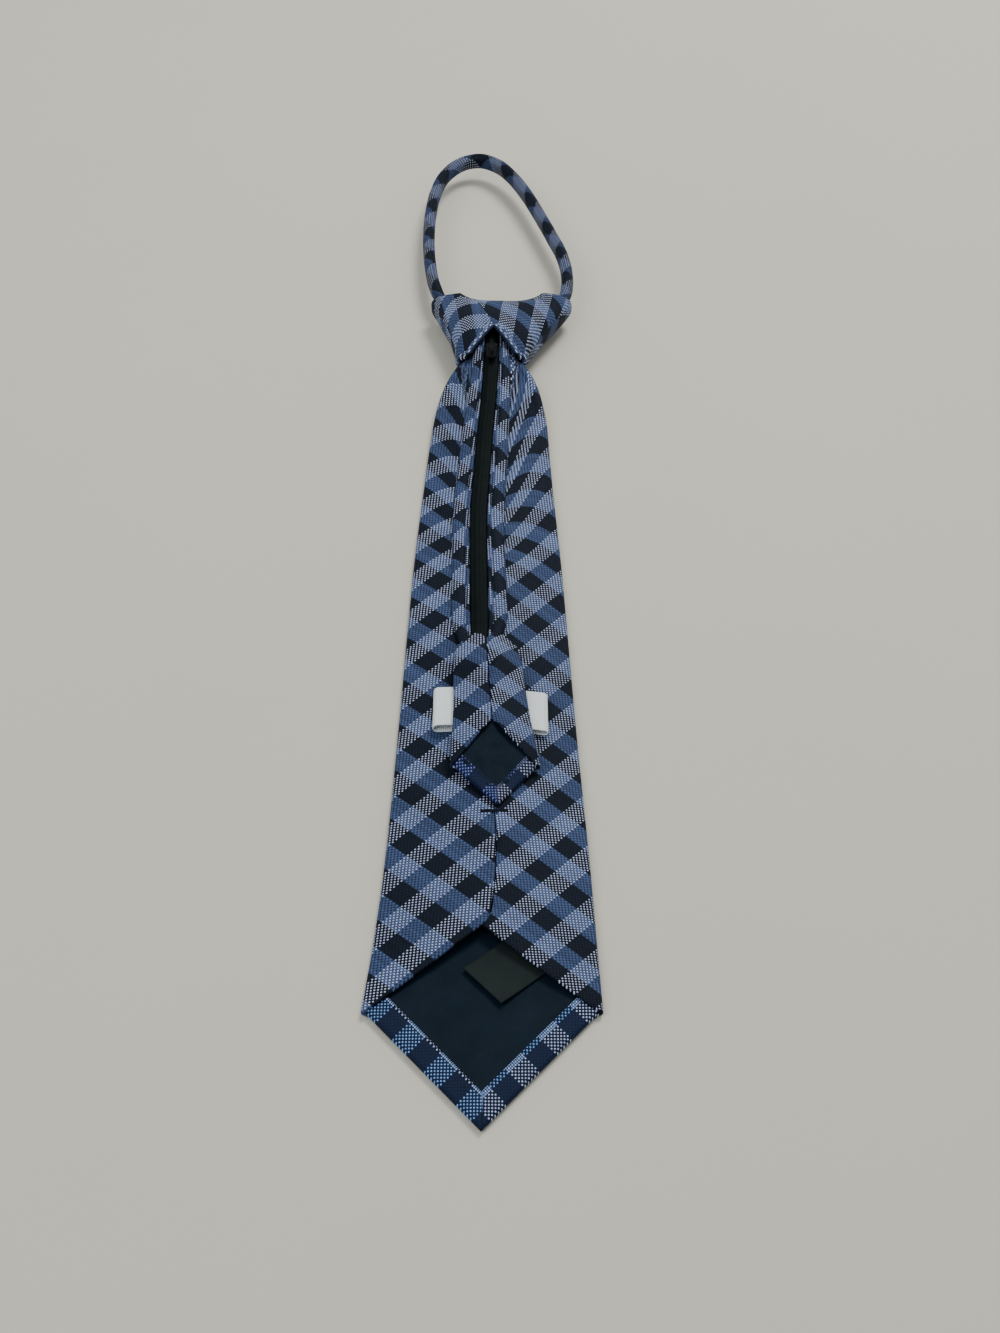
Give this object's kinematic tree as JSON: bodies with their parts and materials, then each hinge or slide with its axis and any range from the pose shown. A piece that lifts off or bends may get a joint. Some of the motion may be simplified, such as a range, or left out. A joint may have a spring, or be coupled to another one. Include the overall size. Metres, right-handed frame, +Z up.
{
  "type": "zipper necktie",
  "caption": "Pre-tied zipper necktie of checked cloth, lying face down, with folded blade, short tail, keeper loop, zipper, knot and neck loop.",
  "frame": {"origin": "on the blade's flat front face, on its middle line, at its widest line above the pointed end", "axes": "+Y along the tie from the pointed end to the neck loop, +Z up through the back seams, -Z out of the front face"},
  "size_m": [0.0898, 0.637, 0.0221],
  "materials": {
    "check_cloth": "woven check in navy, black, blue and white",
    "lining_satin": "dark navy satin",
    "label_satin": "black satin ribbon",
    "keeper_ribbon": "white ribbed ribbon",
    "zipper_cloth": "black woven tape with black coil teeth",
    "slider_paint": "black enamel"
  },
  "bodies": {
    "root": {"blade_shell": "check_cloth", "blade_hem": "check_cloth", "blade_lining": "lining_satin", "care_label": "label_satin", "keeper_loop": "keeper_ribbon", "tail_shell": "check_cloth", "tail_hem": "check_cloth", "tail_lining": "lining_satin", "zip_band_left": "check_cloth", "zip_band_right": "check_cloth", "zipper_tape": "zipper_cloth", "zipper_slider": "slider_paint", "knot_front": "check_cloth", "knot_lobe_left": "check_cloth", "knot_lobe_right": "check_cloth", "neck_loop": "check_cloth"}
  },
  "joints": []
}
